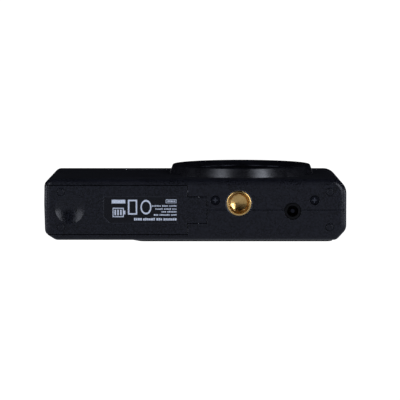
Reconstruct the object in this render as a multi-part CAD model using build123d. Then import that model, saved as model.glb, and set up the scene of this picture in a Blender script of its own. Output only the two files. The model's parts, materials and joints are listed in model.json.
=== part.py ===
"""Compact digital zoom camera lying on its back, lens up. Millimetres.

+X runs along the body, -Y is the base with the tripod bush and battery door,
+Y is the top with the shutter button, +Z is the optical axis.
Z = 0 is the rim of the raised screen panel, which the camera lies on.
"""
from build123d import *
from math import acos, cos, degrees, pi, radians, sin, tan
import os

os.makedirs("parts", exist_ok=True)

# ---- driving dimensions ----
HALF_LENGTH = 48.5
BASE_Y = -28.75
TOP_Y = 27.25
BACK_Z = 0.6            # back of the shell around the raised screen panel
FRONT_Z = 20.4
SEAM_Z = 10.4           # joint between the rear and the front shell
WALL = 1.4
SKIN = 1.2              # wall of door, port cover and windows
GAP = 0.25              # visible gap round a loose panel
EDGE_R = 2.0            # rounding of base and top edges
SEAM_DEPTH = 0.35
CROWN = 0.04            # trimmed off the left end's shallow corner by its arc

LENS_X = 15.2
LENS_Y = -0.75
RING_TOP = 23.5
BUSH_X = 14.0
BUSH_Z = 12.5
BUSH_BORE_R = 2.6
JACK_X = 31.2
JACK_Z = 10.0
SCREW_SPOTS = ((6.4, 13.5), (38.2, 13.5))
FOOT_X = 43.05
FOOT_ZS = (4.85, 16.2)

DOOR_X = -2.6           # right end of the battery door's plate
DOOR_Z = (2.6, 18.2)
TONGUE_X = 3.6
TONGUE_Z = (6.25, 14.5)
DOOR_WRAP_Y = BASE_Y + 4.5
PIN_X = 1.0
PIN_Y = BASE_Y + 2.2
PIN_R = 0.4

GEAR_MODULE = 0.5
RING_TEETH = 78
IDLER_TEETH = 20
PINION_TEETH = 12
PRESSURE_ANGLE = radians(25)
BACKLASH = 0.08

SCREEN_X = (-16.5, 41.5)
SCREEN_Y = (-22.0, 22.0)
PAD_X = -33.5
PAD_Y = -6.0
SHUTTER_X = -33.0
POWER_X = -15.5
TOP_KEYS_Z = 10.5
FLASH_X = (-24.0, -11.0)
FLASH_Y = (16.2, 22.2)
LAMP_X = -5.0
LAMP_Y = 19.2
LAMP_R = 1.6
PORT_Y = (-12.0, 4.0)
PORT_Z = (6.5, 14.5)
STRAP_Y = 10.0
STRAP_Z = 10.4

parts = {}


# ---- helpers ----
def block(x, y, z):
    """Box from three (low, high) spans."""
    spans = [(min(span), max(span)) for span in (x, y, z)]
    centre = [(low + high) / 2 for low, high in spans]
    return Pos(*centre) * Box(*[high - low for low, high in spans])


def round_z(x, y, r, z0, z1):
    return Pos(x, y, (z0 + z1) / 2) * Cylinder(r, z1 - z0)


def round_y(x, z, r, y0, y1):
    return Pos(x, (y0 + y1) / 2, z) * Rot(90, 0, 0) * Cylinder(r, y1 - y0)


def round_x(y, z, r, x0, x1):
    return Pos((x0 + x1) / 2, y, z) * Rot(0, 90, 0) * Cylinder(r, x1 - x0)


def lens_turned(outline):
    """Solid of revolution about the optical axis from (radius, z) points."""
    face = make_face(Polyline(*[(r, 0, z) for r, z in outline], close=True))
    return Pos(LENS_X, LENS_Y, 0) * revolve(face, Axis.Z)


def base_turned(x, z, outline):
    """Solid of revolution about an axis along Y from (radius, y) points."""
    face = make_face(Polyline(*[(r, y, 0) for r, y in outline], close=True))
    return Pos(x, 0, z) * revolve(face, Axis.Y)


def lens_disc(r, z0, z1):
    return round_z(LENS_X, LENS_Y, r, z0, z1)


def lens_tube(r_out, r_in, z0, z1):
    return lens_disc(r_out, z0, z1) - lens_disc(r_in, z0 - 1, z1 + 1)


def slab(x0, x1, y0, y1, z0, z1, r):
    """Plate with rounded corners in plan."""
    plate = block((x0, x1), (y0, y1), (z0, z1))
    return fillet(plate.edges().filter_by(Axis.Z), r)


def body_blank(inset):
    """Whole camera body, shrunk on all sides by inset."""
    outline = [
        (-48.4, FRONT_Z, 2.6), (-HALF_LENGTH - CROWN, 12.2, 30.0), (-48.3, 2.8, 2.6), (-44.8, BACK_Z, 2.6),
        (45.3, BACK_Z, 2.2), (HALF_LENGTH, 4.1, 3.2), (HALF_LENGTH, FRONT_Z, 4.8),
    ]
    corners = [(x, 0, z) for x, z, _ in outline]
    profile = make_face(FilletPolyline(*corners, radius=[r for _, _, r in outline], close=True))
    if inset:
        profile = offset(profile, -inset)
    blank = Pos(0, BASE_Y + inset, 0) * extrude(profile, TOP_Y - BASE_Y - 2 * inset, dir=(0, 1, 0))
    ends = blank.edges().group_by(Axis.Y)
    return fillet(ends[0] + ends[-1], max(EDGE_R - inset, 0.5))


def screen_panel():
    """Raised panel round the screen, with a sloping left edge."""
    foot = Pos(10.2, -0.75, BACK_Z + 0.6) * RectangleRounded(70.4, 50.8, 3.0)
    rim = Pos(12.8, -0.75, 0) * RectangleRounded(62.4, 49.0, 2.2)
    return loft([foot, rim])


def door_region(grow):
    """Region of the battery door: plate, tongue and the wrap round the end, grown by a margin."""
    plate_z = (DOOR_Z[0] - grow, DOOR_Z[1] + grow)
    plate = block((-60, DOOR_X + grow), (-40, DOOR_WRAP_Y + grow), plate_z)
    tongue_z = (TONGUE_Z[0] - grow, TONGUE_Z[1] + grow)
    return plate + block((DOOR_X - 1, TONGUE_X + grow), (-40, DOOR_WRAP_Y), tongue_z)


def phillips(x, y_head, z):
    """Cross recess for a screw whose head faces -Y."""
    depth = 0.5
    arm = 0.85
    width = 0.2
    spans = ((arm, width), (width, arm))
    cross = [block((x - a, x + a), (y_head - 0.1, y_head + depth), (z - b, z + b)) for a, b in spans]
    return cross[0] + cross[1]


def gear(teeth, thickness, z0, sector=None, bore=0.0, web=None):
    """Involute spur gear about Z with one tooth centred on +X, or a toothed sector of a ring."""
    pitch_r = GEAR_MODULE * teeth / 2
    base_r = pitch_r * cos(PRESSURE_ANGLE)
    tip_r = pitch_r + 0.9 * GEAR_MODULE
    root_r = pitch_r - 1.2 * GEAR_MODULE
    start_r = max(base_r, root_r)

    def involute(r):
        angle = acos(min(1.0, base_r / r))
        return tan(angle) - angle

    half_tooth = (pi * GEAR_MODULE / 2 - BACKLASH) / (2 * pitch_r)
    flank = []
    for i in range(4):
        r = start_r + (tip_r - start_r) * i / 3
        flank.append((r, half_tooth + involute(pitch_r) - involute(r)))
    low_r = root_r - 0.3

    def at(r, angle):
        return (r * cos(angle), r * sin(angle))

    outline = [at(low_r, -flank[0][1])] + [at(r, -a) for r, a in flank]
    outline += [at(r, a) for r, a in reversed(flank)] + [at(low_r, flank[0][1])]
    tooth = make_face(Polyline(*outline, close=True))
    count = teeth if sector is None else sector
    first = 0 if sector is None else -(sector - 1) / 2
    profile = Circle(root_r) if web is None else web
    for i in range(count):
        profile = profile + Rot(0, 0, degrees(2 * pi * (first + i) / teeth)) * tooth
    if bore:
        profile = profile - Circle(bore)
    return Pos(0, 0, z0) * extrude(profile, thickness)


# ---- body shells ----
outside = body_blank(0)
inside = body_blank(WALL)
skin_inside = body_blank(SKIN)
groove_inside = body_blank(SEAM_DEPTH)
panel = screen_panel()
above_seam = block((-60, 60), (-40, 40), (SEAM_Z, 40))
below_seam = block((-60, 60), (-40, 40), (-20, SEAM_Z))

seam_groove = (outside - groove_inside) & block((-60, 60), (-40, 40), (SEAM_Z - 0.1, SEAM_Z + 0.1))
shell = outside + panel - inside - seam_groove

# The strap bar sits in a pocket in the left end.
strap_walls = block((-47.8, -44.4), (STRAP_Y - 5, STRAP_Y + 5), (STRAP_Z - 3.6, STRAP_Z + 3.6))
strap_pocket = block((-60, -45.6), (STRAP_Y - 4, STRAP_Y + 4), (STRAP_Z - 2.6, STRAP_Z + 2.6))
shell = shell + (strap_walls & outside) - strap_pocket
STRAP_BAR_X = -47.3
shell = shell - round_z(STRAP_BAR_X, STRAP_Y, 0.6, STRAP_Z - 3.4, STRAP_Z + 3.4)

# Bosses behind the base screws reach the steel bracket.
BRACKET_Y = (BASE_Y + 2.0, BASE_Y + 3.0)
for x, z in SCREW_SPOTS:
    shell = shell + round_y(x, z, 1.6, BASE_Y + 1.0, BRACKET_Y[0])
    shell = shell - round_y(x, z, 1.6, BASE_Y - 1, BASE_Y + 1.0)
    shell = shell - round_y(x, z, 0.8, BASE_Y, BRACKET_Y[0] + 1)

# Openings in the base.
shell = shell - round_y(BUSH_X, BUSH_Z, 4.3, BASE_Y - 1, BASE_Y + 1.6)
shell = shell - round_y(JACK_X, JACK_Z, 2.75, BASE_Y - 1, BASE_Y + 1.6)
shell = shell - door_region(GAP)
BEVEL = 0.75
bevel_tool = Pos(TONGUE_X + GAP, BASE_Y, 0) * extrude(
    make_face(Polyline((-1, 0), (0, 0), (BEVEL, WALL), (BEVEL, 2 * WALL), (-1, 2 * WALL), close=True)),
    TONGUE_Z[1] - TONGUE_Z[0] + 2 * GAP)
shell = shell - Pos(0, 0, TONGUE_Z[0] - GAP) * bevel_tool

# Feet: a pip inside a shallow ring. Those at the left stand on the door.
FOOT_R = 1.1
FOOT_RING_R = 1.4
FOOT_DEPTH = 0.25
FOOT_RISE = 0.3


def foot_ring(x, z):
    moat = round_y(x, z, FOOT_RING_R, BASE_Y - 0.05, BASE_Y + FOOT_DEPTH)
    return moat - round_y(x, z, FOOT_R, BASE_Y - 1, BASE_Y + 1)


def foot_pip(x, z):
    pip = round_y(x, z, FOOT_R, BASE_Y - FOOT_RISE, BASE_Y + 0.1)
    return fillet(pip.edges().group_by(Axis.Y)[0], 0.25)


for z in FOOT_ZS:
    shell = shell - foot_ring(FOOT_X, z) + foot_pip(FOOT_X, z)

# Port opening in the right end, and a recess in the top for its cover strip.
port_region = block((44, 60), PORT_Y, PORT_Z)
shell = shell - block((44, 60), (PORT_Y[0] - GAP, PORT_Y[1] + GAP), (PORT_Z[0] - GAP, PORT_Z[1] + GAP))
TOP_STRIP = (-45.0, -2.0, 4.5, 16.5)
strip_x0, strip_x1, strip_z0, strip_z1 = TOP_STRIP
recess_z = (strip_z0 - 0.1, strip_z1 + 0.1)
shell = shell - block((strip_x0 - 0.1, strip_x1 + 0.1), (TOP_Y - WALL - 0.2, 40), recess_z)

# Screw holes in the ends.
SIDE_SCREWS = ((-1, -12.0), (-1, 20.5), (1, -19.0), (1, 8.5))
SIDE_SCREW_Z = 12.6
for side, y in SIDE_SCREWS:
    ends = sorted((side * 60, side * 47.6))
    shell = shell - round_x(y, SIDE_SCREW_Z, 1.4, *ends)
    shell = shell - round_x(y, SIDE_SCREW_Z, 0.8, *sorted((side * 49, side * 46)))

front_shell = shell & above_seam
rear_shell = shell & below_seam
# Lugs on the rear shell stand up inside the front shell and take the end screws.
for side, y in SIDE_SCREWS:
    foot = block(sorted((side * 47.4, side * 44.6)), (y - 2, y + 2), (6.0, SEAM_Z - 0.2)) & inside
    tab = block(sorted((side * 46.5, side * 44.6)), (y - 2, y + 2), (6.0, SIDE_SCREW_Z + 2.4))
    lug = foot + tab - round_x(y, SIDE_SCREW_Z, 0.7, *sorted((side * 48, side * 44)))
    rear_shell = rear_shell + lug

# Front shell: lens opening, flash and focus lamp windows, microphone holes.
front_shell = front_shell - lens_disc(21.6, 15, 30)
front_shell = front_shell - block(
    (FLASH_X[0] - 0.05, FLASH_X[1] + 0.05), (FLASH_Y[0] - 0.05, FLASH_Y[1] + 0.05), (15, 30))
front_shell = front_shell - round_z(LAMP_X, LAMP_Y, LAMP_R + 0.05, 15, 30)
SPEAKER_X = 27.0
for i in range(5):
    front_shell = front_shell - round_y(SPEAKER_X - 3.0 + 1.5 * i, 12.6, 0.4, 24, 30)

# Rear shell: screen recess, screen aperture, module pocket and key holes.
SCREEN_GLASS_Z = (0.1, 1.0)
MODULE_X = (-17.5, 42.5)
MODULE_Y = (-23.0, 23.0)
rear_shell = rear_shell - slab(*SCREEN_X, *SCREEN_Y, -1, SCREEN_GLASS_Z[1] + 0.02, 1.2)
SCREEN_LEDGE = 1.5
aperture_x = (SCREEN_X[0] + SCREEN_LEDGE, SCREEN_X[1] - SCREEN_LEDGE)
aperture_y = (SCREEN_Y[0] + SCREEN_LEDGE, SCREEN_Y[1] - SCREEN_LEDGE)
rear_shell = rear_shell - block(aperture_x, aperture_y, (-1, 3))
rear_shell = rear_shell - block(MODULE_X, MODULE_Y, (1.35, 3))
PAD_R = 8.5
OK_R = 3.2
KEY_R = 2.0
KEY_SPOTS = {
    "play_button": (-28.0, 12.0), "menu_button": (-39.0, -20.0),
    "delete_button": (-28.0, -20.0), "movie_button": (-38.0, 9.0),
}
rear_shell = rear_shell - round_z(PAD_X, PAD_Y, PAD_R + 0.25, -1, 3)
for x, y in KEY_SPOTS.values():
    rear_shell = rear_shell - round_z(x, y, KEY_R + 0.15, -1, 3)
for row in range(4):
    for column in range(3):
        bump = Pos(-37.0 + 3.5 * column, 16.0 + 2.2 * row, BACK_Z + 0.2) * Sphere(0.6)
        rear_shell = rear_shell + bump
parts["front_shell"] = front_shell
parts["rear_shell"] = rear_shell

# ---- top cover strip and its keys ----
strip = block((strip_x0, strip_x1), (TOP_Y - WALL, TOP_Y), (strip_z0, strip_z1))
strip = strip - round_y(SHUTTER_X, TOP_KEYS_Z, 5.0, 20, 30)
POWER_HALF = (3.0, 1.3)
strip = strip - block(
    (POWER_X - POWER_HALF[0] - 0.12, POWER_X + POWER_HALF[0] + 0.12), (20, 30),
    (TOP_KEYS_Z - POWER_HALF[1] - 0.12, TOP_KEYS_Z + POWER_HALF[1] + 0.12))
parts["top_cover"] = strip

SHUTTER_R = 4.2
SHUTTER_TOP = TOP_Y + 1.8
LEVER_R = 7.2
shutter = round_y(SHUTTER_X, TOP_KEYS_Z, SHUTTER_R, TOP_Y - 1.0, SHUTTER_TOP)
shutter = fillet(shutter.edges().group_by(Axis.Y)[-1], 0.6)
parts["shutter_button"] = shutter + round_y(SHUTTER_X, TOP_KEYS_Z, 1.5, 24.8, TOP_Y)

lever = round_y(SHUTTER_X, TOP_KEYS_Z, LEVER_R, TOP_Y + 0.1, TOP_Y + 1.4)
lever = fillet(lever.edges().group_by(Axis.Y)[-1], 0.4)
tab = block((SHUTTER_X - 1.6, SHUTTER_X + 1.6), (TOP_Y + 0.1, TOP_Y + 1.4), (TOP_KEYS_Z + 6, TOP_KEYS_Z + 9.2))
lever = lever + fillet(tab.edges().group_by(Axis.Z)[-1], 0.5)
lever = lever + round_y(SHUTTER_X, TOP_KEYS_Z, 4.9, TOP_Y - 1.6, TOP_Y + 0.2)
lever = lever + round_y(SHUTTER_X, TOP_KEYS_Z, 5.6, TOP_Y - 2.2, TOP_Y - 1.5)
parts["zoom_lever"] = lever - round_y(SHUTTER_X, TOP_KEYS_Z, SHUTTER_R + 0.15, 20, 40)

power = block(
    (POWER_X - POWER_HALF[0], POWER_X + POWER_HALF[0]), (TOP_Y - 1.5, TOP_Y - 0.1),
    (TOP_KEYS_Z - POWER_HALF[1], TOP_KEYS_Z + POWER_HALF[1]))
power = fillet(power.edges().filter_by(Axis.Y), 1.0)
parts["power_button"] = power + round_y(POWER_X, TOP_KEYS_Z, 1.0, 24.4, TOP_Y - 1.0)
parts["top_board"] = block((-44.0, -6.0), (23.2, 23.8), (5.5, 16.0))
parts["speaker"] = round_y(SPEAKER_X, 10.4, 4.5, 22.8, 25.3)

# ---- lens ----
parts["lens_trim_ring"] = lens_turned([
    (23.8, FRONT_Z), (22.75, RING_TOP - 0.2), (22.5, RING_TOP), (20.5, RING_TOP), (20.3, RING_TOP - 0.1),
    (18.6, 21.8), (18.6, 19.1), (21.5, 19.1), (21.5, FRONT_Z)])
IDLER_ANGLE = radians(40)
MOTOR_ANGLE = radians(20)
RING_PITCH_R = GEAR_MODULE * RING_TEETH / 2
IDLER_PITCH_R = GEAR_MODULE * IDLER_TEETH / 2
PINION_PITCH_R = GEAR_MODULE * PINION_TEETH / 2
ring_to_idler = RING_PITCH_R + IDLER_PITCH_R
idler_to_pinion = IDLER_PITCH_R + PINION_PITCH_R
IDLER_X = LENS_X + ring_to_idler * cos(IDLER_ANGLE)
IDLER_Y = LENS_Y + ring_to_idler * sin(IDLER_ANGLE)
PINION_X = IDLER_X + idler_to_pinion * cos(MOTOR_ANGLE)
PINION_Y = IDLER_Y + idler_to_pinion * sin(MOTOR_ANGLE)
GEAR_Z = 6.6
GEAR_THICKNESS = 1.3

housing = lens_tube(21.2, 20.2, 5.3, 19.0) + lens_disc(21.2, 5.3, 6.2)
housing = housing - block((LENS_X - 7, LENS_X + 7), (LENS_Y - 6, LENS_Y + 6), (4, 7))
housing = housing - round_z(IDLER_X, IDLER_Y, 5.9, 6.3, 8.3)

# The arm under the idler carries its post; the plate above it carries the motor.
POST_R = 0.75
arm_angle = degrees(IDLER_ANGLE)
arm = Pos(LENS_X, LENS_Y, 5.8) * Rot(0, 0, arm_angle) * Pos(ring_to_idler - 2, 0, 0) * Box(8, 5, 1.0)
plate_x = (IDLER_X + PINION_X) / 2
plate_y = (IDLER_Y + PINION_Y) / 2
motor_plate = Pos(plate_x, plate_y, 8.45) * Rot(0, 0, 20) * Box(14, 7, 0.3)
motor_plate = motor_plate - round_z(PINION_X, PINION_Y, 0.9, 8, 9)
post = round_z(IDLER_X, IDLER_Y, POST_R, 6.0, 8.2)
housing = housing + arm + motor_plate + post - lens_disc(20.2, 6.3, 20)
parts["lens_housing"] = housing

# The ring gear is a sector: one of its teeth lies on the line to the idler at rest.
SECTOR_TEETH = 23
SECTOR_SHIFT = 8
tooth_step = 360 / RING_TEETH
sector_turn = arm_angle - SECTOR_SHIFT * tooth_step
ring_gear = gear(RING_TEETH, GEAR_THICKNESS, GEAR_Z, sector=SECTOR_TEETH, web=Circle(19.0) - Circle(18.1))
ring_gear = Pos(LENS_X, LENS_Y, 0) * Rot(0, 0, sector_turn) * ring_gear
parts["cam_ring"] = lens_tube(18.8, 18.1, GEAR_Z, 18.5) + ring_gear

# A gap of the idler faces that tooth, and a gap of the pinion faces the idler's nearest tooth.
idler_step = 360 / IDLER_TEETH
idler_turn = arm_angle + 180 + idler_step / 2
idler = gear(IDLER_TEETH, GEAR_THICKNESS, GEAR_Z, bore=POST_R + 0.05)
parts["idler_gear"] = Pos(IDLER_X, IDLER_Y, 0) * Rot(0, 0, idler_turn) * idler
motor_angle = degrees(MOTOR_ANGLE)
past_tooth = (motor_angle - idler_turn) % idler_step
pinion_turn = motor_angle + 180 + past_tooth * IDLER_TEETH / PINION_TEETH + 180 / PINION_TEETH
pinion = Pos(PINION_X, PINION_Y, 0) * Rot(0, 0, pinion_turn) * gear(PINION_TEETH, GEAR_THICKNESS, GEAR_Z)
SHAFT_R = 0.7
parts["motor_pinion"] = pinion + round_z(PINION_X, PINION_Y, SHAFT_R, GEAR_Z, 11.0)
motor = round_z(PINION_X, PINION_Y, 4.0, 8.6, 16.5)
parts["zoom_motor"] = motor - round_z(PINION_X, PINION_Y, SHAFT_R + 0.05, 8, 11.1)

# Barrels: the outer one slides in the cam ring, the inner one in the outer.
BLADE_Z = (19.7, 20.1)
APERTURE_R = 5.5
FACE_Z = 21.9
parts["outer_barrel"] = lens_turned([
    (17.1, 6.8), (18.0, 6.8), (18.0, 21.4), (17.8, 21.6), (17.3, 21.6), (17.1, 21.4)])
parts["inner_barrel"] = lens_turned([
    (16.1, 7.0), (17.0, 7.0), (17.0, 21.9), (16.8, 22.1), (16.1, 22.1), (16.1, 17.0),
    (8.0, 17.0), (8.0, 15.5), (16.1, 15.5)])
face = lens_turned([
    (16.08, 20.2), (16.08, FACE_Z), (10.8, FACE_Z), (7.2, 20.7), (APERTURE_R, 20.7), (APERTURE_R, 20.2)])
BLADE_PIVOT = (12.0, 1.5)
BLADE_PIN_R = 0.6
for side in (-1, 1):
    face = face + round_z(
        LENS_X + side * BLADE_PIVOT[0], LENS_Y - side * BLADE_PIVOT[1], BLADE_PIN_R, 19.4, 20.3)
parts["barrel_face"] = face

blade_half = Circle(6.5) & (Pos(0, 5.03, 0) * Rectangle(20, 10))
blade_arm = make_face(Polyline((-12.0, 0.3), (-4.0, 0.03), (-3.0, 5.0), (-12.0, 2.8), close=True))
blade_plan = blade_half + blade_arm + Pos(-BLADE_PIVOT[0], BLADE_PIVOT[1]) * Circle(1.3)
blade_plan = blade_plan - Pos(-BLADE_PIVOT[0], BLADE_PIVOT[1]) * Circle(BLADE_PIN_R + 0.05)
blade = Pos(0, 0, BLADE_Z[0]) * extrude(blade_plan, BLADE_Z[1] - BLADE_Z[0])
parts["barrier_blade_a"] = Pos(LENS_X, LENS_Y, 0) * blade
parts["barrier_blade_b"] = Pos(LENS_X, LENS_Y, 0) * Rot(0, 0, 180) * blade


def lens_element(r, z_low, z_high, sag):
    """Biconvex lens: rim cylinder with a dome of height sag on each face."""
    ball_r = (r * r + sag * sag) / (2 * sag)
    rim = round_z(0, 0, r, z_low, z_high)
    top_ball = Pos(0, 0, z_high - ball_r) * Sphere(ball_r)
    low_ball = Pos(0, 0, z_low + ball_r) * Sphere(ball_r)
    return Pos(LENS_X, LENS_Y, 0) * (rim & top_ball & low_ball)


parts["front_lens"] = lens_element(8.0, 14.9, 19.1, 1.4)
holder = lens_disc(15.9, 8.0, 9.0) + lens_disc(7.5, 8.0, 12.2)
parts["zoom_group_holder"] = holder - lens_disc(6.0, 7, 13)
parts["zoom_group_lens"] = lens_element(6.0, 8.4, 12.0, 1.2)

# ---- boards, screen and rear keys ----
BOARD_Z = (4.2, 5.0)
parts["main_board"] = slab(-44.0, 44.0, -24.0, 24.0, *BOARD_Z, 2.0)
parts["image_sensor"] = block((LENS_X - 6, LENS_X + 6), (LENS_Y - 4.5, LENS_Y + 4.5), (BOARD_Z[1], 6.2))
chips = [block((37.5, 43.0), (-22.0, -14.0), (BOARD_Z[1], 6.2))]
for i in range(3):
    chips.append(block((38.4, 40.6), (-11.0 + 2.4 * i, -9.6 + 2.4 * i), (BOARD_Z[1], 5.6)))
parts["board_chips"] = Compound(chips)
parts["lcd_window"] = slab(
    SCREEN_X[0] + 0.08, SCREEN_X[1] - 0.08, SCREEN_Y[0] + 0.08, SCREEN_Y[1] - 0.08, *SCREEN_GLASS_Z, 1.1)
parts["lcd_module"] = block((-17.4, 42.4), (-22.9, 22.9), (1.4, 3.5))
parts["lcd_tray"] = slab(-20.0, 43.4, -23.8, 23.8, 3.55, 3.95, 2.0)
KEY_BOARD_Z = (3.2, 3.8)
parts["rear_key_board"] = slab(-44.0, -22.0, -24.0, 16.0, *KEY_BOARD_Z, 1.5)

KEY_FACE_Z = 0.3
pad = round_z(PAD_X, PAD_Y, PAD_R, 0.45, 2.2)
pad = fillet(pad.edges().group_by(Axis.Z)[0], 0.3)
parts["nav_pad"] = pad - round_z(PAD_X, PAD_Y, OK_R + 0.35, 0, 3)
parts["nav_rocker"] = round_z(PAD_X, PAD_Y, 5.5, 2.45, 2.75) - round_z(PAD_X, PAD_Y, 3.9, 2, 3)
ok_button = round_z(PAD_X, PAD_Y, OK_R, KEY_FACE_Z, 2.7)
parts["ok_button"] = fillet(ok_button.edges().group_by(Axis.Z)[0], 0.3)
for name, (x, y) in KEY_SPOTS.items():
    key = round_z(x, y, KEY_R, KEY_FACE_Z, 2.5)
    key = fillet(key.edges().group_by(Axis.Z)[0], 0.25)
    parts[name] = key + round_z(x, y, KEY_R + 0.6, 2.1, 2.6)

# ---- battery, card and their box ----
BOX_X = (-42.6, -8.2)
BOX_Y = (-25.4, 15.8)
box = block(BOX_X, BOX_Y, (5.3, 16.4))
box = box - block((-41.4, -9.4), (-30, 15.0), (9.5, 15.6))
parts["battery_box"] = box - block((-40.2, -15.8), (-30, 9.0), (5.95, 8.35))
battery = block((-41.2, -9.6), (-25.2, 14.4), (9.6, 15.5))
parts["battery"] = fillet(battery.edges().filter_by(Axis.Y), 1.2)
contacts = [block((x, x + 1.4), (14.4, 15.0), (11.4, 13.6)) for x in (-37.0, -34.0, -31.0)]
parts["battery_contacts"] = Compound(contacts)
card = block((-40.0, -16.0), (-24.6, 7.4), (6.05, 8.15))
parts["memory_card"] = chamfer(card.edges().filter_by(Axis.Z).sort_by(Axis.X)[0], 3.0)
parts["card_reader"] = block((-40.1, -15.9), (7.5, 8.95), (6.0, 8.3))
LATCH_X = (-16.0, -12.0)
latch_nose = block(LATCH_X, (-26.9, -25.5), (14.6, 17.2))
parts["battery_latch"] = latch_nose + block(LATCH_X, (-26.0, -20.0), (16.5, 17.2))

# ---- battery door, its carrier and pin ----
DIMPLE_X = -40.2
DIMPLE_Z = 10.7
DIMPLE_R = 4.7
DIMPLE_DEPTH = 1.0
door = (outside - skin_inside) & door_region(0)
bevel_corners = [(0.1, 0), (0, 0), (-0.6, SKIN), (0.1, SKIN + 0.1)]
door_bevel = Pos(DOOR_X, BASE_Y, 0) * make_face(Polyline(*bevel_corners, close=True))
for z0, z1 in ((DOOR_Z[0], TONGUE_Z[0]), (TONGUE_Z[1], DOOR_Z[1])):
    door = door - Pos(0, 0, z0) * extrude(door_bevel, z1 - z0)
door = door + (round_y(DIMPLE_X, DIMPLE_Z, DIMPLE_R + 0.8, BASE_Y + 1.0, BASE_Y + 2.0) & outside)
dimple_ball_r = (DIMPLE_R ** 2 + DIMPLE_DEPTH ** 2) / (2 * DIMPLE_DEPTH)
door = door - Pos(DIMPLE_X, BASE_Y + DIMPLE_DEPTH - dimple_ball_r, DIMPLE_Z) * Sphere(dimple_ball_r)
for z in FOOT_ZS:
    door = door - foot_ring(-FOOT_X, z) + foot_pip(-FOOT_X, z)
KNUCKLE_R = 1.1
KNUCKLE_Z = (6.3, 14.45)
knuckle = round_z(PIN_X, PIN_Y, KNUCKLE_R, *KNUCKLE_Z)
knuckle = knuckle + block((PIN_X - KNUCKLE_R, PIN_X + KNUCKLE_R), (BASE_Y + 1.0, PIN_Y), KNUCKLE_Z)
door = door + knuckle - round_z(PIN_X, PIN_Y, PIN_R + 0.05, 0, 20)

LABEL_X = (-29.4, -5.8)
LABEL_Z = (6.1, 14.7)
LABEL_CUT = 2.0


def label_plate(grow, y0, y1):
    """Label outline with its lower left corner cut, between two depths."""
    x0, x1 = LABEL_X[0] - grow, LABEL_X[1] + grow
    z0, z1 = LABEL_Z[0] - grow, LABEL_Z[1] + grow
    corners = [(x0, z0 + LABEL_CUT), (x0 + LABEL_CUT, z0), (x1, z0), (x1, z1), (x0, z1)]
    plan = make_face(Polyline(*[(x, y0, z) for x, z in corners], close=True))
    return extrude(plan, y1 - y0, dir=(0, 1, 0))


door = door - label_plate(0.1, BASE_Y - 0.1, BASE_Y + 0.12)
parts["battery_door"] = door
parts["door_label"] = label_plate(0, BASE_Y + 0.02, BASE_Y + 0.12)
parts["hinge_pin"] = round_z(PIN_X, PIN_Y, PIN_R, 5.1, 15.6)
BRIDGE_Y = (BASE_Y + 5.9, BASE_Y + 6.7)
carrier = block((PIN_X - 2, PIN_X + 2), BRIDGE_Y, (5.2, 15.5))
for ear_z in ((5.2, 6.0), (14.7, 15.5)):
    carrier = carrier + block((PIN_X - 1.3, PIN_X + 1.3), (PIN_Y - 0.6, BRIDGE_Y[1]), ear_z)
parts["door_carrier"] = carrier - round_z(PIN_X, PIN_Y, PIN_R, 0, 20)

# ---- base: bush, bracket, jack and screws ----
FLANGE_Y = BASE_Y + 0.1
parts["tripod_bush"] = base_turned(BUSH_X, BUSH_Z, [
    (3.3, FLANGE_Y), (3.95, FLANGE_Y), (4.14, FLANGE_Y + 0.2), (4.14, BRACKET_Y[0]), (3.9, BRACKET_Y[0]),
    (3.9, BASE_Y + 6.4), (0, BASE_Y + 6.4), (0, BASE_Y + 5.75), (BUSH_BORE_R, BASE_Y + 5.75),
    (BUSH_BORE_R, BASE_Y + 0.8)])
bracket = block((4.9, 44.0), BRACKET_Y, (4.5, 17.5))
bracket = bracket + block((-6.0, 6.0), (BRACKET_Y[0], BASE_Y + 6.5), (15.8, 16.4))
bracket = bracket - round_y(BUSH_X, BUSH_Z, 3.95, BASE_Y, BASE_Y + 6)
bracket = bracket - block((JACK_X - 3.6, JACK_X + 3.6), (BASE_Y, BASE_Y + 6), (4, JACK_Z + 3.4))
for x, z in SCREW_SPOTS:
    bracket = bracket - round_y(x, z, 0.72, BASE_Y, BASE_Y + 6)
parts["base_bracket"] = bracket

JACK_R = 2.5
JACK_BORE_R = 1.8
jack = block((JACK_X - 3.4, JACK_X + 3.4), (BASE_Y + 1.55, BASE_Y + 10.0), (JACK_Z - 3.2, JACK_Z + 3.2))
jack = jack + round_y(JACK_X, JACK_Z, JACK_R, BASE_Y + 0.1, BASE_Y + 2.0)
jack = jack + block((JACK_X - 2.8, JACK_X + 2.8), (BASE_Y + 5.0, BASE_Y + 9.5), (BOARD_Z[1], JACK_Z))
jack = jack - round_y(JACK_X, JACK_Z, JACK_BORE_R, BASE_Y - 1, BASE_Y + 9.0)
parts["dc_jack"] = jack
parts["dc_jack_pin"] = round_y(JACK_X, JACK_Z, 0.65, BASE_Y + 1.4, BASE_Y + 9.0)

screws = []
for x, z in SCREW_SPOTS:
    head_y = BASE_Y + 0.3
    head = round_y(x, z, 1.5, head_y, BASE_Y + 1.0)
    head = fillet(head.edges().group_by(Axis.Y)[0], 0.2)
    screws.append(head + round_y(x, z, 0.7, BASE_Y + 0.9, BASE_Y + 3.9) - phillips(x, head_y, z))
parts["base_screws"] = Compound(screws)

screws = []
for side, y in SIDE_SCREWS:
    head_x = side * 48.3
    seat_x = side * 47.6
    head = round_x(y, SIDE_SCREW_Z, 1.3, *sorted((head_x, seat_x)))
    shank = round_x(y, SIDE_SCREW_Z, 0.65, *sorted((side * 47.7, side * 44.8)))
    slot_x = sorted((side * 47.8, side * 48.5))
    cross = block(slot_x, (y - 0.8, y + 0.8), (SIDE_SCREW_Z - 0.2, SIDE_SCREW_Z + 0.2))
    cross = cross + block(slot_x, (y - 0.2, y + 0.2), (SIDE_SCREW_Z - 0.8, SIDE_SCREW_Z + 0.8))
    screws.append(head + shank - cross)
parts["side_screws"] = Compound(screws)

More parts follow.
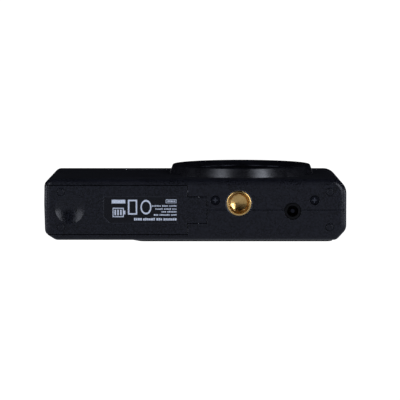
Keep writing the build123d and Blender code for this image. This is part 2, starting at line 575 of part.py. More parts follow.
# ---- flash, lamp, port and strap bar ----
WINDOW_Z = (19.2, FRONT_Z)
parts["flash_window"] = block(FLASH_X, FLASH_Y, WINDOW_Z)
reflector = block(FLASH_X, FLASH_Y, (14.0, 19.1))
REFLECTOR_WALL = 0.6
bowl_x = (FLASH_X[0] + REFLECTOR_WALL, FLASH_X[1] - REFLECTOR_WALL)
bowl_y = (FLASH_Y[0] + REFLECTOR_WALL, FLASH_Y[1] - REFLECTOR_WALL)
reflector = reflector - block(bowl_x, bowl_y, (14.8, 20))
flash_mid_y = sum(FLASH_Y) / 2
parts["flash_reflector"] = reflector
parts["flash_tube"] = round_x(flash_mid_y, 16.2, 0.9, FLASH_X[0] + 0.6, FLASH_X[1] - 0.6)
parts["flash_capacitor"] = round_y(40.9, 12.0, 3.5, -24.5, -10.5)
parts["af_lamp_window"] = round_z(LAMP_X, LAMP_Y, LAMP_R, *WINDOW_Z)
cover = (outside - skin_inside) & port_region
parts["port_cover"] = cover
PLUG_Y = (-8.0, 0.0)
usb = block((41.3, 46.9), PLUG_Y, (9.0, 12.0))
usb = usb - block((42.5, 50), (PLUG_Y[0] + 0.4, PLUG_Y[1] - 0.4), (9.4, 11.6))
usb = usb + block((42.5, 46.0), (PLUG_Y[0] + 2.6, PLUG_Y[1] - 2.6), (10.2, 10.9))
usb = usb + block((41.5, 43.8), (PLUG_Y[0] + 1, PLUG_Y[1] - 1), (BOARD_Z[1], 9.0))
parts["usb_connector"] = usb
parts["strap_bar"] = round_z(STRAP_BAR_X, STRAP_Y, 0.6, STRAP_Z - 3.4, STRAP_Z + 3.4)

for name, solid in parts.items():
    export_step(solid, f"parts/{name}.step")
print(len(parts), "nodes")
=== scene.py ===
"""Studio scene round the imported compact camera. It lies on its back, lens up, base towards the viewer."""
import json
from math import ceil, cos, pi, radians, sin
import random

import bmesh
import bpy
from mathutils import Matrix, Vector


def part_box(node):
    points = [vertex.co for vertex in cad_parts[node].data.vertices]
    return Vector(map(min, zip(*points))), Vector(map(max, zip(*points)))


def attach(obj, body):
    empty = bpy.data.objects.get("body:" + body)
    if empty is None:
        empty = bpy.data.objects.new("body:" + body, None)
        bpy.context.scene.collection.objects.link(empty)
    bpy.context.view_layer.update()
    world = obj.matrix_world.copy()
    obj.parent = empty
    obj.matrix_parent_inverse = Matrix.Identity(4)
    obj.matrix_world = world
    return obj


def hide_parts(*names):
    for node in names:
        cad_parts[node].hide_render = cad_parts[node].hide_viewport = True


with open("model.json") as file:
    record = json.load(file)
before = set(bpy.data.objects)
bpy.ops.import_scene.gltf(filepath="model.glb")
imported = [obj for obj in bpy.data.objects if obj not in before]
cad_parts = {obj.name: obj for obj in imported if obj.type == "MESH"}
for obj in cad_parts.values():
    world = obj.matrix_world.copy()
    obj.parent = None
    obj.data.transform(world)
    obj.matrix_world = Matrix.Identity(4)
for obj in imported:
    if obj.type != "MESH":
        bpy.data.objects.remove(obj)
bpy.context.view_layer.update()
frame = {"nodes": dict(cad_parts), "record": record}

MM = 0.001
NODES = frame["nodes"]


# ---- node helpers ----
class Shader:
    """A principled material with small helpers for its procedural nodes."""

    def __init__(self, name, metallic=0.0, specular=0.5, coat=0.0, coat_roughness=0.1):
        self.material = bpy.data.materials.new(name)
        self.material.use_nodes = True
        self.tree = self.material.node_tree
        self.tree.nodes.clear()
        self.bsdf = self.add("ShaderNodeBsdfPrincipled")
        output = self.add("ShaderNodeOutputMaterial")
        self.link(self.bsdf.outputs["BSDF"], output.inputs["Surface"])
        self.set("Metallic", metallic)
        self.set("Specular IOR Level", specular)
        self.set("Coat Weight", coat)
        self.set("Coat Roughness", coat_roughness)
        self.coordinates = self.add("ShaderNodeTexCoord").outputs["Object"]

    def add(self, kind, **settings):
        node = self.tree.nodes.new(kind)
        for key, value in settings.items():
            setattr(node, key, value)
        return node

    def link(self, source, target):
        self.tree.links.new(source, target)

    def set(self, socket, value):
        self.bsdf.inputs[socket].default_value = value

    def stretched(self, scale):
        """Object coordinates scaled per axis, for brushed or turned grain."""
        mapping = self.add("ShaderNodeMapping")
        mapping.inputs["Scale"].default_value = scale
        self.link(self.coordinates, mapping.inputs["Vector"])
        return mapping.outputs["Vector"]

    def noise(self, size, detail=3.0, vector=None):
        """Noise whose features are about size metres across."""
        node = self.add("ShaderNodeTexNoise")
        node.inputs["Scale"].default_value = 1.0 / size
        node.inputs["Detail"].default_value = detail
        self.link(vector or self.coordinates, node.inputs["Vector"])
        return node.outputs["Fac"]

    def cells(self, size):
        node = self.add("ShaderNodeTexVoronoi")
        node.inputs["Scale"].default_value = 1.0 / size
        self.link(self.coordinates, node.inputs["Vector"])
        return node.outputs["Distance"]

    def remap(self, value, low, high, start=0.3, end=0.7):
        node = self.add("ShaderNodeMapRange")
        node.inputs["From Min"].default_value = start
        node.inputs["From Max"].default_value = end
        node.inputs["To Min"].default_value = low
        node.inputs["To Max"].default_value = high
        self.link(value, node.inputs["Value"])
        return node.outputs["Result"]

    def blend(self, factor, first, second):
        """Colour between two colours or colour sockets."""
        node = self.add("ShaderNodeMix", data_type="RGBA")
        self.link(factor, node.inputs["Factor"])
        for index, colour in ((6, first), (7, second)):
            if isinstance(colour, bpy.types.NodeSocket):
                self.link(colour, node.inputs[index])
            else:
                node.inputs[index].default_value = (*colour, 1.0)
        return node.outputs[2]

    def math(self, operation, first, second=0.0):
        node = self.add("ShaderNodeMath", operation=operation)
        for socket, value in zip(node.inputs, (first, second)):
            if isinstance(value, bpy.types.NodeSocket):
                self.link(value, socket)
            else:
                socket.default_value = value
        return node.outputs[0]

    def colour(self, value):
        if isinstance(value, bpy.types.NodeSocket):
            self.link(value, self.bsdf.inputs["Base Color"])
        else:
            self.set("Base Color", (*value, 1.0))

    def roughness(self, value):
        self.link(value, self.bsdf.inputs["Roughness"])

    def soft_edges(self, radius):
        """Rounds the look of sharp edges; returns the rounded normal and how much of an edge a point is."""
        bevel = self.add("ShaderNodeBevel", samples=4)
        bevel.inputs["Radius"].default_value = radius
        geometry = self.add("ShaderNodeNewGeometry")
        dot = self.add("ShaderNodeVectorMath", operation="DOT_PRODUCT")
        self.link(bevel.outputs["Normal"], dot.inputs[0])
        self.link(geometry.outputs["Normal"], dot.inputs[1])
        edge_wear_and_sheen = self.remap(dot.outputs["Value"], 1.0, 0.0, 0.80, 0.995)
        return bevel.outputs["Normal"], edge_wear_and_sheen

    def bumps(self, layers, normal=None):
        """Chain of bump nodes from (height socket, depth in metres) pairs."""
        for height, depth in layers:
            node = self.add("ShaderNodeBump")
            node.inputs["Strength"].default_value = 1.0
            node.inputs["Distance"].default_value = depth
            self.link(height, node.inputs["Height"])
            if normal is not None:
                self.link(normal, node.inputs["Normal"])
            normal = node.outputs["Normal"]
        if normal is not None:
            self.link(normal, self.bsdf.inputs["Normal"])


def srgb(*levels):
    """Linear colour from 0-255 display levels."""
    return tuple(((v / 255 + 0.055) / 1.055) ** 2.4 if v > 10 else v / 255 / 12.92 for v in levels)


def moulded(name, dark, light, rough, specular, grain=0.35 * MM, depth=0.012 * MM, edge=0.12 * MM, wear_and_sheen=None,
            matt_above=None):
    """Black moulded plastic with a spark-eroded grain, faint handling blotches and slightly lighter edges:
    partly wear, partly a painted highlight along the edges.
    """
    s = Shader(name, specular=specular)
    fine = s.noise(grain, 4.0)
    blotch = s.noise(14 * MM, 3.0)
    speckle = s.blend(s.remap(fine, 0, 1, 0.38, 0.62), dark, light)
    tone = s.blend(s.remap(blotch, 0.0, 0.35), speckle, light)
    normal, edge_wear_and_sheen = s.soft_edges(edge)
    if wear_and_sheen is not None:
        # edges lightened in patches: partly wear, partly a painted highlight along the edges
        patchy_wear_and_sheen = s.math("MULTIPLY", edge_wear_and_sheen, s.remap(s.noise(2.5 * MM), 0.05, 0.4))
        tone = s.blend(patchy_wear_and_sheen, tone, wear_and_sheen)
    s.colour(tone)
    gloss = s.math("ADD", s.remap(fine, -0.06, 0.06), s.remap(blotch, rough[0], rough[1]))
    if matt_above is not None:
        split = s.add("ShaderNodeSeparateXYZ")
        s.link(s.coordinates, split.inputs[0])
        step = s.remap(split.outputs["Z"], 0.0, MATT_STEP, matt_above - 0.4 * MM, matt_above)
        gloss = s.math("ADD", gloss, step)
    s.roughness(gloss)
    s.bumps([(fine, depth), (s.cells(grain * 1.6), depth * 0.8)], normal)
    return s.material


def metal(name, dark, light, rough, grain_scale, edge=0.08 * MM, specular=0.5, metallic=1.0):
    """Metal with grain stretched by grain_scale and a little tarnish."""
    s = Shader(name, metallic=metallic, specular=specular)
    grain = s.noise(0.5 * MM, 3.0, s.stretched(grain_scale))
    tarnish = s.noise(3.0 * MM, 4.0)
    s.colour(s.blend(s.remap(tarnish, 0, 1), dark, light))
    s.roughness(s.math("ADD", s.remap(grain, -0.05, 0.05), s.remap(tarnish, *rough)))
    normal, _ = s.soft_edges(edge)
    s.bumps([(grain, 0.003 * MM)], normal)
    return s.material


def glassy(name, tint, transmission, rough, ior=1.5, coat=0.0):
    s = Shader(name, coat=coat, coat_roughness=0.03)
    smear = s.noise(6 * MM, 4.0)
    s.colour(s.blend(s.remap(smear, 0, 1), tint, tuple(c * 0.9 for c in tint)))
    s.set("Transmission Weight", transmission)
    s.set("IOR", ior)
    s.roughness(s.remap(smear, *rough))
    return s.material


def screw_head(axis, near, far):
    """Blackened head whose cross recess is painted lighter, like bare steel, between two heights along an
    axis: a painted highlight for the glints in the recess.
    """
    s = Shader("screw_head", metallic=1.0)
    split = s.add("ShaderNodeSeparateXYZ")
    s.link(s.coordinates, split.inputs[0])
    depth = s.remap(s.math("ABSOLUTE", split.outputs[axis]), 1.0, 0.0, near, far)
    grain = s.noise(0.3 * MM, 3.0)
    black = s.blend(s.remap(grain, 0, 1), srgb(16, 17, 20), srgb(34, 35, 42))
    # the deep cross recess is painted lighter: a painted highlight
    s.colour(s.blend(depth, black, srgb(84, 86, 94)))
    s.roughness(s.remap(grain, 0.26, 0.38))
    normal, _ = s.soft_edges(0.14 * MM)
    s.bumps([(grain, 0.004 * MM)], normal)
    return s.material


ISOTROPIC = (1, 1, 1)
MATT_STEP = 0.34        # roughness added on the front face, which is matter than the base
FRONT_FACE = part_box("front_shell")[1].z - 0.05 * MM
SHELL_DARK = srgb(4, 4, 6)
SHELL_LIGHT = srgb(24, 25, 32)
# lighter colour for edges: partly wear, partly a painted edge highlight
WEAR_AND_EDGE_SHEEN = srgb(58, 60, 70)
FINISH = {
    "shell": moulded("black_moulding", SHELL_DARK, SHELL_LIGHT, (0.27, 0.35), 0.22, grain=0.42 * MM,
                     depth=0.022 * MM, edge=0.24 * MM, wear_and_sheen=WEAR_AND_EDGE_SHEEN, matt_above=FRONT_FACE),
    "door": moulded("black_door_moulding", SHELL_DARK, SHELL_LIGHT, (0.24, 0.31), 0.22, grain=0.42 * MM,
                    depth=0.018 * MM, edge=0.24 * MM, wear_and_sheen=WEAR_AND_EDGE_SHEEN),
    "keys": moulded("satin_keys", srgb(26, 27, 31), srgb(40, 41, 46), (0.30, 0.42), 0.5,
                    grain=0.2 * MM, depth=0.003 * MM, wear_and_sheen=WEAR_AND_EDGE_SHEEN),
    "dark_plastic": moulded("inner_moulding", srgb(4, 4, 5), srgb(10, 10, 12), (0.3, 0.42), 0.12,
                            depth=0.006 * MM),
    "rubber": moulded("soft_rubber", srgb(20, 20, 22), srgb(34, 34, 37), (0.6, 0.75), 0.25, grain=0.25 * MM),
    "chip": moulded("moulded_epoxy", srgb(24, 24, 24), srgb(44, 44, 44), (0.5, 0.7), 0.4, grain=0.15 * MM),
    "gear": moulded("acetal", srgb(205, 200, 184), srgb(225, 221, 208), (0.35, 0.5), 0.5, depth=0.003 * MM),
    "lens_ring": metal("black_turned_ring", srgb(6, 6, 10), srgb(12, 13, 18), (0.25, 0.32), (1, 1, 14),
                       metallic=0.0, specular=0.6),
    "barrel": metal("black_anodised", srgb(40, 41, 46), srgb(46, 47, 52), (0.28, 0.34), (1, 1, 14)),
    "brass": metal("turned_brass", srgb(190, 150, 84), srgb(226, 190, 124), (0.16, 0.30), (1, 14, 1)),
    "steel": metal("pressed_steel", srgb(150, 150, 152), srgb(190, 190, 192), (0.25, 0.40), (6, 1, 1)),
    "black_steel": metal("blackened_steel", srgb(24, 25, 30), srgb(50, 51, 60), (0.22, 0.34), ISOTROPIC,
                         edge=0.16 * MM),
    "battery": metal("battery_sleeve", srgb(50, 56, 68), srgb(62, 68, 80), (0.35, 0.5), (1, 8, 1),
                     metallic=0.2),
    "glass": glassy("coated_glass", srgb(236, 240, 250), 1.0, (0.0, 0.03), ior=1.6, coat=0.4),
    "window": glassy("prismatic_window", srgb(235, 240, 246), 0.95, (0.04, 0.12)),
    "screen": glassy("dark_display", srgb(18, 19, 22), 0.0, (0.04, 0.09), coat=0.6),
    "board": moulded("board_laminate", srgb(18, 70, 44), srgb(26, 92, 58), (0.3, 0.45), 0.5, grain=0.4 * MM,
                     depth=0.004 * MM),
    "label": moulded("label_film", srgb(4, 4, 6), srgb(18, 19, 24), (0.26, 0.34), 0.2, grain=0.25 * MM,
                     depth=0.003 * MM, edge=0.12 * MM),
    "print": moulded("label_ink", srgb(168, 176, 190), srgb(206, 212, 222), (0.5, 0.6), 0.3,
                     depth=0.001 * MM),
    # lighter strip round the door label: a painted highlight on the label's edge
    "edge": moulded("painted_label_highlight", srgb(30, 31, 37), srgb(48, 49, 57), (0.3, 0.4), 0.4, depth=0.001 * MM),
    "gold": metal("gold_contacts", srgb(205, 165, 80), srgb(236, 202, 120), (0.2, 0.3), ISOTROPIC),
}

for part in frame["record"]["subparts"]:
    for held in NODES[part["node"]].material_slots:
        held.material = FINISH[part["material_slot"]]
# the DC jack pin gets the blackened steel finish in place of its own metal: painted shade for the dark inside
# of the jack
for name, slot_name in (("lcd_window", "screen"), ("dc_jack_pin", "black_steel")):
    NODES[name].material_slots[0].material = FINISH[slot_name]
screw_face = -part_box("base_screws")[0].y
screw_finish = screw_head("Y", screw_face - 0.45 * MM, screw_face - 0.25 * MM)
NODES["base_screws"].material_slots[0].material = screw_finish


# ---- mesh helpers ----
def finish_piece(name, mesh, body, slot, finish=None, replaces=(), smooth=35):
    """Puts a mesh in the scene, riding on a body and standing for CAD nodes."""
    piece = bpy.data.objects.new(name, mesh)
    bpy.context.scene.collection.objects.link(piece)
    mesh.materials.append(finish or FINISH[slot])
    for polygon in mesh.polygons:
        polygon.use_smooth = True
    mesh.set_sharp_from_angle(angle=radians(smooth))
    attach(piece, body)
    if replaces:
        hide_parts(*replaces)
    return piece


def baked(name, builder):
    """Mesh of a finished builder."""
    mesh = bpy.data.meshes.new(name)
    builder.to_mesh(mesh)
    builder.free()
    return mesh


def turned(name, outline, centre, segments=256):
    """Mesh of revolution about Z from a closed outline of (radius, height) points, in metres."""
    builder = bmesh.new()
    rings = []
    for radius, height in outline:
        steps = [2 * pi * i / segments for i in range(segments)]
        rings.append([builder.verts.new((radius * cos(a), radius * sin(a), height)) for a in steps])
    for i, ring in enumerate(rings):
        other = rings[(i + 1) % len(rings)]
        for k in range(segments):
            n = (k + 1) % segments
            builder.faces.new((ring[k], ring[n], other[n], other[k]))
    bmesh.ops.recalc_face_normals(builder, faces=builder.faces)
    builder.transform(Matrix.Translation(Vector(centre)))
    return baked(name, builder)


def middle(node):
    low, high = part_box(node)
    return (low + high) / 2


# ---- lens trim ring: high resolution lathe work with a fine turned step ----
LENS = middle("lens_trim_ring")
ring_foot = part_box("front_shell")[1].z
ring_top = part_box("lens_trim_ring")[1].z
rise = (ring_top - ring_foot) / MM
ring_outline = [
    (23.8, 0), (23.72, 0.18),
    (22.84, rise - 0.38), (22.76, rise - 0.22), (22.62, rise - 0.07), (22.44, rise),
    (20.55, rise), (20.40, rise - 0.05), (20.30, rise - 0.16),
    (18.72, 1.45), (18.6, 1.3), (18.6, -1.3), (21.5, -1.3), (21.5, 0),
]
ring_points = [(r * MM, ring_foot + z * MM) for r, z in ring_outline]
ring_mesh = turned("lens_ring", ring_points, (LENS.x, LENS.y, 0))
finish_piece("lens_ring", ring_mesh, "camera_body", "lens_ring", replaces=("lens_trim_ring",), smooth=28)


# ---- tripod bush: serrated flange, chamfered mouth and a real thread ----
def threaded_bush():
    """Brass bush with a 1/4 inch, 20 per inch thread, built in the bush's own axes: -Y is its mouth."""
    low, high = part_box("tripod_bush")
    centre = (low + high) / 2
    mouth = low.y
    pitch = 25.4 / 20 * MM
    root_r, crest_r = 3.05 * MM, 2.6 * MM
    start, turns_end = mouth + 0.55 * MM, high.y - 2.0 * MM
    segments = 96
    rows_per_turn = 10
    builder = bmesh.new()
    rows = ceil((turns_end - start) / pitch * rows_per_turn)
    grid = []
    for row in range(rows + 1):
        y = start + (turns_end - start) * row / rows
        ring = []
        for k in range(segments):
            angle = 2 * pi * k / segments
            phase = ((y - start) / pitch - k / segments) % 1.0
            height = max(0.0, 1.0 - abs(phase - 0.5) * 3.4)
            opening = min(1.0, (y - start) / (0.9 * MM))
            radius = root_r - (root_r - crest_r) * min(1.0, height * 1.25) * opening
            point = (centre.x + radius * cos(angle), y, centre.z + radius * sin(angle))
            ring.append(builder.verts.new(point))
        grid.append(ring)

    def plain_ring(radius, y, serration=0.0):
        ring = []
        for k in range(segments):
            angle = 2 * pi * k / segments
            r = radius - (serration if k % 2 else 0.0)
            ring.append(builder.verts.new((centre.x + r * cos(angle), y, centre.z + r * sin(angle))))
        return ring

    flange_r = (high.x - low.x) / 2 - 0.12 * MM
    front = [
        plain_ring(3.02 * MM, mouth + 0.5 * MM), plain_ring(3.34 * MM, mouth + 0.12 * MM),
        plain_ring(3.44 * MM, mouth), plain_ring(3.76 * MM, mouth), plain_ring(3.90 * MM, mouth + 0.08 * MM),
        plain_ring(flange_r, mouth + 0.24 * MM, 0.07 * MM), plain_ring(flange_r, mouth + 1.9 * MM, 0.07 * MM),
        plain_ring(3.88 * MM, mouth + 1.95 * MM), plain_ring(3.88 * MM, high.y)]
    floor_ring = plain_ring(2.9 * MM, turns_end)
    sequence = front[::-1] + grid + [floor_ring]
    for first, second in zip(sequence, sequence[1:]):
        for k in range(segments):
            n = (k + 1) % segments
            builder.faces.new((first[k], first[n], second[n], second[k]))
    for ring, y in ((floor_ring, high.y - 0.6 * MM), (front[-1], high.y)):
        tip = builder.verts.new((centre.x, y, centre.z))
        for k in range(segments):
            builder.faces.new((ring[k], ring[(k + 1) % segments], tip))
    bmesh.ops.recalc_face_normals(builder, faces=builder.faces)
    return baked("threaded_bush", builder)


finish_piece("threaded_bush", threaded_bush(), "camera_body", "brass",
             replaces=("tripod_bush",), smooth=30)


# ---- generic print on the door label ----
def label_print():
    """Grey blocks where print would be: rows of word-like blocks, plain marks and a cell icon."""
    low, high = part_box("door_label")
    face = low.y
    raised = 0.006 * MM
    builder = bmesh.new()
    random.seed(7)

    def block(x0, x1, z0, z1):
        corners = [(x0, z0), (x1, z0), (x1, z1), (x0, z1)]
        front = [builder.verts.new((x, face - raised, z)) for x, z in corners]
        back = [builder.verts.new((x, face + raised, z)) for x, z in corners]
        builder.faces.new(front)
        builder.faces.new(back[::-1])
        for k in range(4):
            n = (k + 1) % 4
            builder.faces.new((front[k], back[k], back[n], front[n]))

    def frame_mark(x0, x1, z0, z1, line):
        block(x0, x1, z0, z0 + line)
        block(x0, x1, z1 - line, z1)
        block(x0, x0 + line, z0 + line, z1 - line)
        block(x1 - line, x1, z0 + line, z1 - line)

    def words(x0, x1, z_mid, height, weight):
        """Blocks from x1 leftwards to x0, in groups like words."""
        x = x1
        while x > x0:
            for _ in range(random.randint(3, 7)):
                width = random.uniform(0.30, 0.42) * MM * weight
                lift = random.uniform(-0.06, 0.10) * MM
                if x - width < x0:
                    break
                block(x - width, x, z_mid - height / 2, z_mid + height / 2 + lift)
                x -= width + 0.13 * MM
            x -= 0.32 * MM

    right = high.x - 0.25 * MM
    top = high.z
    rows = ((8.2, 3.0, 0.42, 1.0), (7.2, 4.0, 0.42, 1.0), (5.1, 4.9, 0.42, 1.0), (7.5, 5.9, 0.48, 1.0),
            (13.6, 7.3, 0.74, 1.5))
    for length, drop, height, weight in rows:
        words(right - length * MM, right, top - drop * MM, height * MM, weight)
    frame_mark(right - 3.4 * MM, right, top - 2.1 * MM, top - 0.9 * MM, 0.16 * MM)
    words(right - 3.0 * MM, right - 0.4 * MM, top - 1.5 * MM, 0.45 * MM, 1.0)
    left = low.x + 2.6 * MM
    block(left, left + 4.4 * MM, top - 2.2 * MM, top - 1.0 * MM)
    cell_top = top - 3.6 * MM
    frame_mark(left + 0.3 * MM, left + 3.9 * MM, cell_top - 3.0 * MM, cell_top, 0.3 * MM)
    block(left + 3.9 * MM, left + 4.4 * MM, cell_top - 2.1 * MM, cell_top - 0.9 * MM)
    for i in range(3):
        bar = left + (0.9 + 0.9 * i) * MM, left + (1.4 + 0.9 * i) * MM
        block(*bar, cell_top - 2.4 * MM, cell_top - 0.6 * MM)
    mark = left + 5.2 * MM
    frame_mark(mark, mark + 3.0 * MM, top - 5.8 * MM, top - 1.0 * MM, 0.5 * MM)
    ring_steps = 40
    for k in range(ring_steps):
        a, b = 2 * pi * k / ring_steps, 2 * pi * (k + 1) / ring_steps
        centre_x, centre_z = mark + 5.8 * MM, top - 3.4 * MM
        corners = []
        for angle, grow in ((a, 1.0), (b, 1.0), (b, 0.76), (a, 0.76)):
            x = centre_x + 1.75 * MM * grow * cos(angle)
            corners.append((x, centre_z + 2.35 * MM * grow * sin(angle)))
        vertices = [builder.verts.new((x, face - raised, z)) for x, z in corners]
        builder.faces.new(vertices)
    bmesh.ops.remove_doubles(builder, verts=builder.verts, dist=1e-7)
    bmesh.ops.recalc_face_normals(builder, faces=builder.faces)
    return baked("label_print", builder)


finish_piece("label_print", label_print(), "battery_door", "label", finish=FINISH["print"])


# ---- raised outlines (the one round the label is a painted highlight), key marks and window ribs ----
def prisms(name, outlines, place):
    """Thin solid plates: place(u, v, k) is the point at (u, v) on the near (k = 0) or far (1) side."""
    builder = bmesh.new()
    for outline in outlines:
        near = [builder.verts.new(place(u, v, 0)) for u, v in outline]
        far = [builder.verts.new(place(u, v, 1)) for u, v in outline]
        builder.faces.new(near)
        builder.faces.new(far[::-1])
        for k in range(len(outline)):
            n = (k + 1) % len(outline)
            builder.faces.new((near[k], far[k], far[n], near[n]))
    bmesh.ops.recalc_face_normals(builder, faces=builder.faces)
    return baked(name, builder)


def outline_strips(corners, width):
    """One four-cornered strip per edge of a polygon, inside it."""
    middle_u = sum(u for u, _ in corners) / len(corners)
    middle_v = sum(v for _, v in corners) / len(corners)
    inner = []
    for u, v in corners:
        side_u, side_v = 1 if u > middle_u else -1, 1 if v > middle_v else -1
        inner.append((u - width * side_u, v - width * side_v))
    strips = []
    for k in range(len(corners)):
        n = (k + 1) % len(corners)
        strips.append([corners[k], corners[n], inner[n], inner[k]])
    return strips


def circle(radius, steps=32):
    angles = [2 * pi * i / steps for i in range(steps)]
    return [(radius * cos(a), radius * sin(a)) for a in angles]


def ring_strips(radius, width, steps=32, start=0.0, stop=2 * pi):
    strips = []
    for i in range(steps):
        a = start + (stop - start) * i / steps
        b = start + (stop - start) * (i + 1) / steps
        strips.append([(r * cos(t), r * sin(t)) for r, t in
                       ((radius, a), (radius, b), (radius - width, b), (radius - width, a))])
    return strips


def rectangle(u0, u1, v0, v1):
    return [(u0, v0), (u1, v0), (u1, v1), (u0, v1)]


def label_edge_highlight():
    # a lighter strip round the label: a painted highlight for the lit edge of its recess
    low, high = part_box("door_label")
    cut = 2.0 * MM
    corners = [(low.x, low.z + cut), (low.x + cut, low.z), (high.x, low.z), (high.x, high.z),
               (low.x, high.z)]
    strips = outline_strips(corners, 0.12 * MM)
    return prisms("label_edge_highlight", strips, lambda u, v, k: (u, low.y - 0.008 * MM * (1 - k), v))


finish_piece("label_edge_highlight", label_edge_highlight(), "battery_door", "label", finish=FINISH["edge"])

TRIANGLE = [(-0.55, -0.65), (0.75, 0.0), (-0.55, 0.65)]
REAR_MARKS = {
    "play_button": [TRIANGLE],
    "menu_button": [rectangle(-0.7, 0.7, v, v + 0.22) for v in (-0.6, -0.11, 0.38)],
    "delete_button": [*outline_strips(rectangle(-0.6, 0.6, -0.7, 0.5), 0.2),
                      rectangle(-0.8, 0.8, 0.62, 0.82)],
    "movie_button": [circle(0.6)],
    "ok_button": ring_strips(0.9, 0.22),
    "nav_pad": [[(6.6 * cos(a) + x * cos(a) - y * sin(a), 6.6 * sin(a) + x * sin(a) + y * cos(a))
                 for x, y in ((0.7, 0.0), (-0.3, 0.8), (-0.3, -0.8))] for a in (0, pi / 2, pi, 3 * pi / 2)],
}
PRINT_LIFT = 0.01 * MM      # how far a printed mark stands off its key
PRINT_DEPTH = 0.03 * MM


def on_back(centre, face_z):
    """Places a mark, drawn in millimetres round a key's middle, on its face at the camera's back."""
    def place(u, v, k):
        return (centre.x + u * MM, centre.y + v * MM, face_z - PRINT_LIFT + PRINT_DEPTH * k)
    return place


for key, outlines in REAR_MARKS.items():
    mark = prisms(key + "_mark", outlines, on_back(middle(key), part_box(key)[0].z))
    finish_piece(key + "_mark", mark, key, "keys", finish=FINISH["print"])


def power_mark():
    """Open ring with a bar in its gap, on the power button's top."""
    centre, top = middle("power_button"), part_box("power_button")[1].y
    strips = ring_strips(0.65, 0.16, 24, radians(120), radians(420)) + [rectangle(-0.08, 0.08, 0.25, 0.8)]

    def place(u, v, k):
        return (centre.x + u * MM, top + PRINT_LIFT - PRINT_DEPTH * k, centre.z + v * MM)
    return prisms("power_mark", strips, place)


finish_piece("power_mark", power_mark(), "power_button", "keys", finish=FINISH["print"])


def lever_ribs():
    """Four finger ribs across the zoom lever's front end."""
    centre, high = middle("zoom_lever"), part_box("zoom_lever")[1]
    ribs = [rectangle(-1.1 + 0.55 * i, -0.85 + 0.55 * i, 1.2, 2.6) for i in range(4)]

    def place(u, v, k):
        y = high.y - 0.06 * MM + 0.055 * MM * (1 - k)
        return (centre.x + (u + 0.12) * MM, y, high.z - 3.2 * MM + v * MM)
    return prisms("lever_ribs", ribs, place)


finish_piece("lever_ribs", lever_ribs(), "zoom_lever", "keys")


def ribbed_window():
    """Flash window with a smooth face and prismatic ribs behind it."""
    low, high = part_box("flash_window")
    count = 22
    step = (high.x - low.x) / count
    profile = [(low.x, high.z)]
    for i in range(count):
        profile.append((low.x + i * step, low.z + 0.35 * MM))
        profile.append((low.x + (i + 0.5) * step, low.z))
    profile += [(high.x, low.z + 0.35 * MM), (high.x, high.z)]
    return prisms("ribbed_window", [profile], lambda u, v, k: (u, low.y + (high.y - low.y) * k, v))


finish_piece("ribbed_window", ribbed_window(), "camera_body", "window",
             replaces=("flash_window",), smooth=20)


# ---- stage: floor, lights, camera ----
COOL = (0.84, 0.88, 1.0)
WHITE = 1.1             # what the camera sees of the floor and of the room
FLOOR_BOUNCE = 0.30     # what every other ray sees of the floor, besides the light on its paper
FLOOR_HALF = 6.0
KEY_SIZE = (0.36, 0.86)     # width and height of the soft boxes, in metres
SIDE_SIZE = (0.6, 0.3)
BACK_SIZE = (0.8, 0.8)
CAMERA_PLACE = (0.0015, -0.77875, 0.07185)
CAMERA_PITCH = 4.44     # degrees below the horizontal
CAMERA_LENS = 211.5     # focal length in millimetres on a 36 mm sensor


def stage_floor():
    """Paper that shows plain white to the camera and a dimmer paper to every other ray."""
    mesh = bpy.data.meshes.new("studio_floor")
    corners = [(x * FLOOR_HALF, y * FLOOR_HALF, 0) for x, y in ((-1, -1), (1, -1), (1, 1), (-1, 1))]
    mesh.from_pydata(corners, [], [(0, 1, 2, 3)])
    floor = bpy.data.objects.new("studio_floor", mesh)
    bpy.context.scene.collection.objects.link(floor)
    s = Shader("studio_paper", specular=0.1)
    paper = s.noise(0.02, 3.0)
    s.colour(s.blend(s.remap(paper, 0, 1), (0.56, 0.58, 0.62), (0.60, 0.62, 0.66)))
    s.roughness(s.remap(paper, 0.75, 0.9))
    s.set("Emission Color", (*COOL, 1.0))
    s.set("Emission Strength", FLOOR_BOUNCE)
    glow = s.add("ShaderNodeEmission")
    glow.inputs["Strength"].default_value = WHITE
    seen = s.add("ShaderNodeMixShader")
    output = s.tree.nodes["Material Output"]
    s.link(s.add("ShaderNodeLightPath").outputs["Is Camera Ray"], seen.inputs[0])
    s.link(s.bsdf.outputs["BSDF"], seen.inputs[1])
    s.link(glow.outputs["Emission"], seen.inputs[2])
    s.link(seen.outputs["Shader"], output.inputs["Surface"])
    mesh.materials.append(s.material)


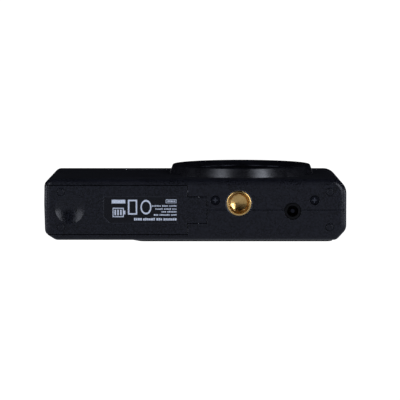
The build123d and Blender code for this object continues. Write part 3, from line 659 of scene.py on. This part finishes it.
def softbox(name, azimuth, elevation, distance, size, radiance, glossy=True):
    """Area light that faces the object; its power follows from its radiance."""
    width, height = size
    light = bpy.data.lights.new(name, "AREA")
    light.shape = "RECTANGLE"
    light.size = width
    light.size_y = height
    light.color = COOL
    light.energy = radiance * pi * width * height
    lamp = bpy.data.objects.new(name, light)
    bpy.context.scene.collection.objects.link(lamp)
    a, e = radians(azimuth), radians(elevation)
    place = Vector((sin(a) * cos(e), -cos(a) * cos(e), sin(e))) * distance
    lamp.location = place
    lamp.rotation_euler = place.to_track_quat("Z", "Y").to_euler()
    lamp.visible_glossy = glossy


stage_floor()
softbox("key_left", -36, 21, 1.2, KEY_SIZE, 4.8)
softbox("key_right", 36, 21, 1.2, KEY_SIZE, 7.0)
softbox("side_left", -84, 3, 1.2, SIDE_SIZE, 9.0)
softbox("side_right", 84, 3, 1.2, SIDE_SIZE, 9.0)
softbox("behind", 180, 55, 1.4, BACK_SIZE, 1.0, glossy=False)

world = bpy.data.worlds.new("studio")
bpy.context.scene.world = world
world.use_nodes = True
tree = world.node_tree
tree.nodes.clear()
output = tree.nodes.new("ShaderNodeOutputWorld")
choose = tree.nodes.new("ShaderNodeMixShader")
room = tree.nodes.new("ShaderNodeBackground")
seen = tree.nodes.new("ShaderNodeBackground")
path = tree.nodes.new("ShaderNodeLightPath")
room.inputs["Color"].default_value = (0.004, 0.004, 0.005, 1)
seen.inputs["Color"].default_value = (WHITE, WHITE, WHITE, 1)
tree.links.new(path.outputs["Is Camera Ray"], choose.inputs[0])
tree.links.new(room.outputs[0], choose.inputs[1])
tree.links.new(seen.outputs[0], choose.inputs[2])
tree.links.new(choose.outputs[0], output.inputs["Surface"])

lens = bpy.data.cameras.new("view")
lens.lens = CAMERA_LENS
lens.sensor_width = 36
lens.clip_start = 0.01
camera = bpy.data.objects.new("view", lens)
bpy.context.scene.collection.objects.link(camera)
camera.location = CAMERA_PLACE
camera.rotation_euler = (radians(90 - CAMERA_PITCH), 0, 0)
bpy.context.scene.camera = camera
bpy.context.scene.view_settings.view_transform = "Standard"
